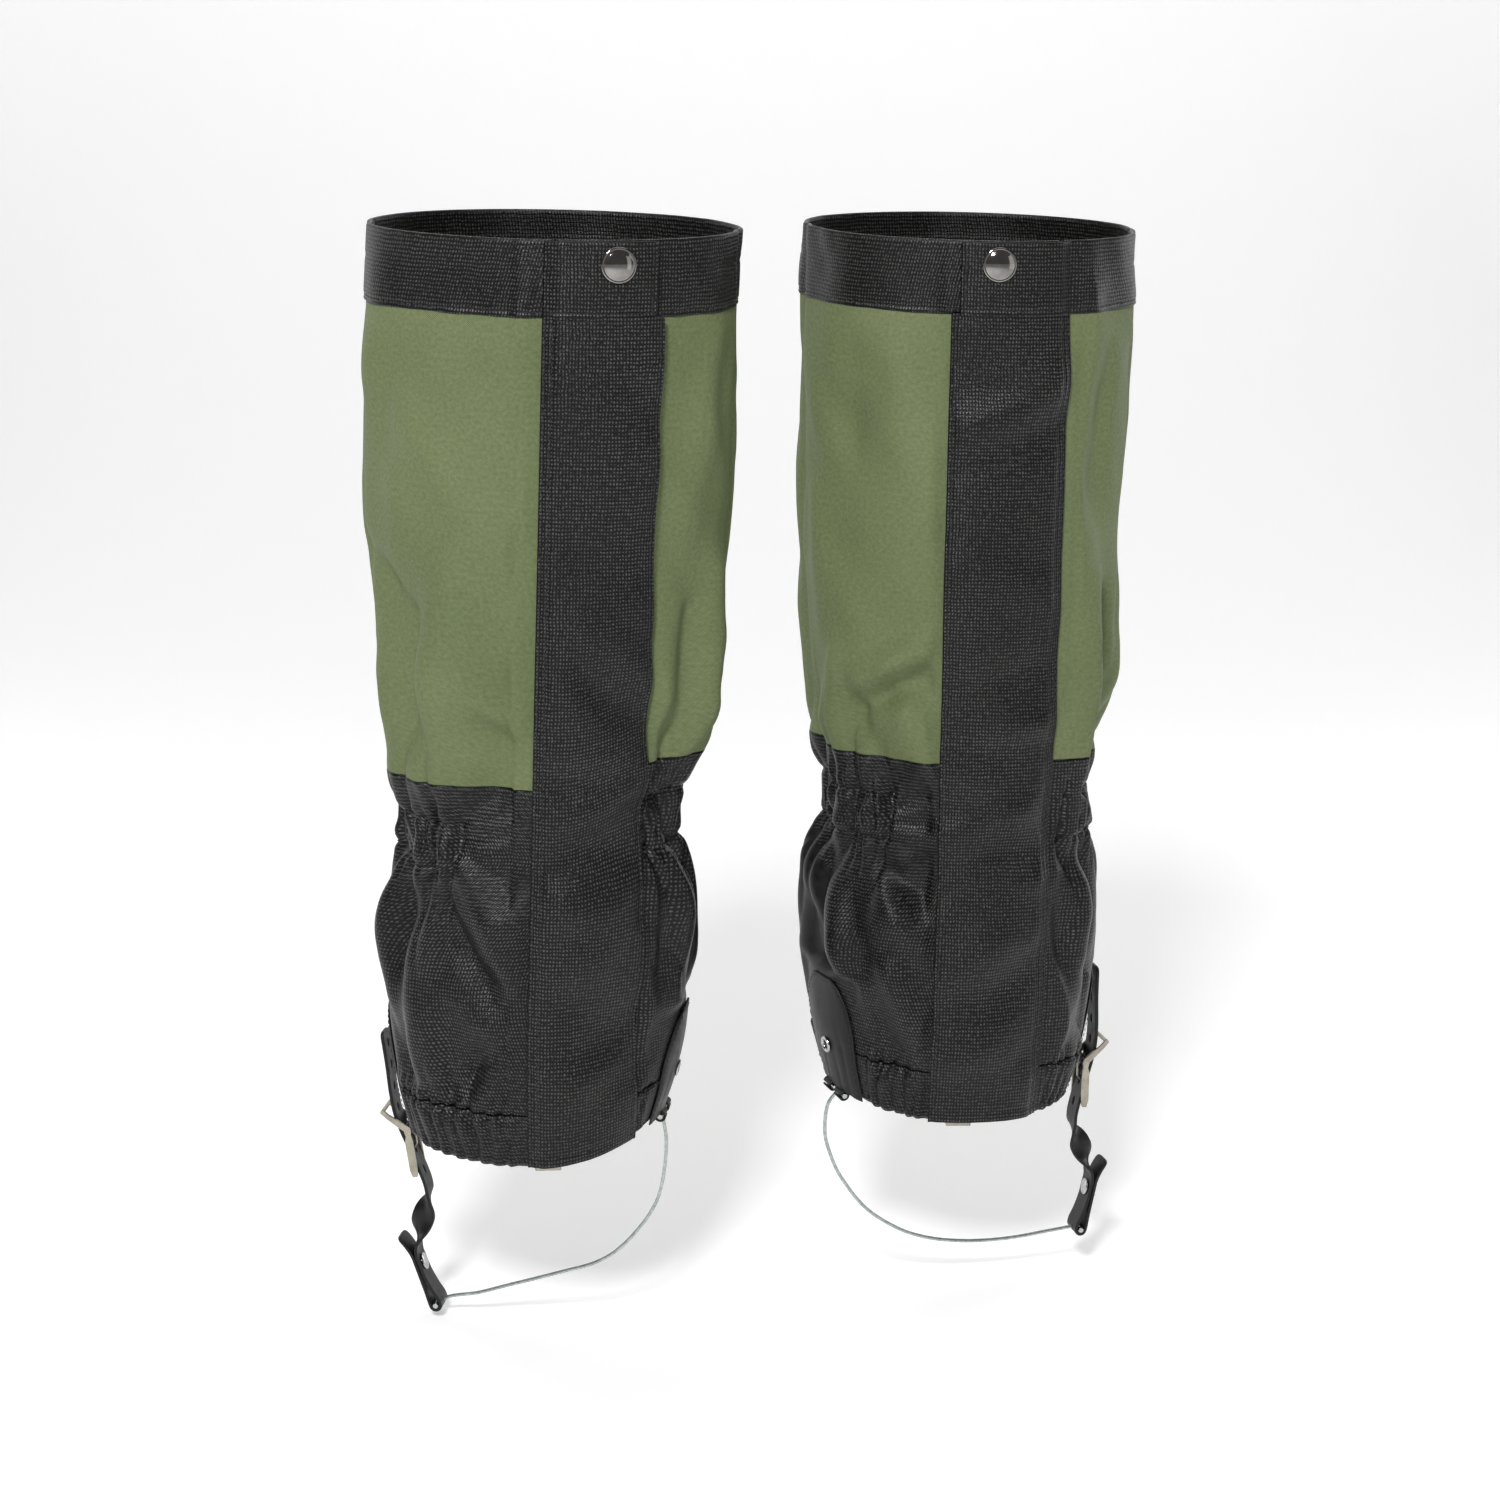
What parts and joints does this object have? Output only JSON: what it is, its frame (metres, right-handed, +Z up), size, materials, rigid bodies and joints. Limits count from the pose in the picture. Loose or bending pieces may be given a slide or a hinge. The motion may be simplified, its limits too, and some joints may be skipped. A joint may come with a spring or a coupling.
{
  "type": "pair of gaiters",
  "caption": "Knee-high fabric gaiters with a front flap, snapped top cuff, shaped ankle and an under-boot cable stirrup held by a buckled strap.",
  "frame": {"origin": "midway between the two legs, in the plane of the front hems", "axes": "+Z up the leg, the toes point along -Y, and the wearer's right gaiter is at -X"},
  "size_m": [0.3983, 0.2019, 0.5765],
  "materials": {
    "green_twill": "matt twill weave",
    "black_ripstop": "matt coated ripstop",
    "black_tape": "matt pile tape",
    "black_elastic": "matt ribbed webbing",
    "smooth_black": "smooth satin coating",
    "gunmetal": "polished dark nickel",
    "nickel": "worn nickel plate",
    "steel": "satin steel"
  },
  "bodies": {
    "gaiters": {"right_cuff": "black_ripstop", "right_upper_panel": "green_twill", "right_lower_panel": "black_ripstop", "right_hem_casing": "black_ripstop", "right_ankle_elastic_outer": "black_elastic", "right_ankle_elastic_inner": "black_elastic", "right_hook_tape": "black_tape", "right_snap_stud": "gunmetal", "right_snap_post": "gunmetal", "right_lace_hook": "nickel", "right_hook_tab": "black_elastic", "right_outer_patch": "smooth_black", "right_inner_patch": "smooth_black", "right_inner_eyelet": "steel", "right_inner_pin": "steel", "left_cuff": "black_ripstop", "left_upper_panel": "green_twill", "left_lower_panel": "black_ripstop", "left_hem_casing": "black_ripstop", "left_ankle_elastic_outer": "black_elastic", "left_ankle_elastic_inner": "black_elastic", "left_hook_tape": "black_tape", "left_snap_stud": "gunmetal", "left_snap_post": "gunmetal", "left_lace_hook": "nickel", "left_hook_tab": "black_elastic", "left_outer_patch": "smooth_black", "left_inner_patch": "smooth_black", "left_inner_eyelet": "steel", "left_inner_pin": "steel"},
    "right_flap": {"right_front_flap": "black_ripstop", "right_cuff_tab": "black_ripstop", "right_loop_tape": "black_tape", "right_snap_cap": "gunmetal", "right_snap_socket": "gunmetal"},
    "left_flap": {"left_front_flap": "black_ripstop", "left_cuff_tab": "black_ripstop", "left_loop_tape": "black_tape", "left_snap_cap": "gunmetal", "left_snap_socket": "gunmetal"},
    "right_stirrup": {"right_buckle_keeper": "black_elastic", "right_buckle_frame": "nickel", "right_buckle_prong": "nickel", "right_stirrup_strap": "smooth_black", "right_strap_rivet": "steel", "right_strap_pin": "steel", "right_stirrup_cable": "steel"},
    "left_stirrup": {"left_buckle_keeper": "black_elastic", "left_buckle_frame": "nickel", "left_buckle_prong": "nickel", "left_stirrup_strap": "smooth_black", "left_strap_rivet": "steel", "left_strap_pin": "steel", "left_stirrup_cable": "steel"}
  },
  "joints": [
    {"name": "right_flap_hinge", "type": "hinge", "parent": "gaiters", "child": "right_flap", "pos_m": [-0.1103, -0.0998, 0], "axis": [-0.0146, 0, -0.9999], "range_deg": [0, 150]},
    {"name": "left_flap_hinge", "type": "hinge", "parent": "gaiters", "child": "left_flap", "pos_m": [0.156, -0.0116, 0], "axis": [-0.0109, -0.0062, 0.9999], "range_deg": [0, 150]},
    {"name": "right_stirrup_swing", "type": "hinge", "parent": "gaiters", "child": "right_stirrup", "pos_m": [-0.0437, -0.0438, 0.0097], "axis": [-0.9921, 0.1209, -0.0348], "range_deg": [-30, 30]},
    {"name": "left_stirrup_swing", "type": "hinge", "parent": "gaiters", "child": "left_stirrup", "pos_m": [0.0486, 0.0145, 0.0014], "axis": [0.9575, 0.2383, 0.1622], "range_deg": [-30, 30]}
  ]
}
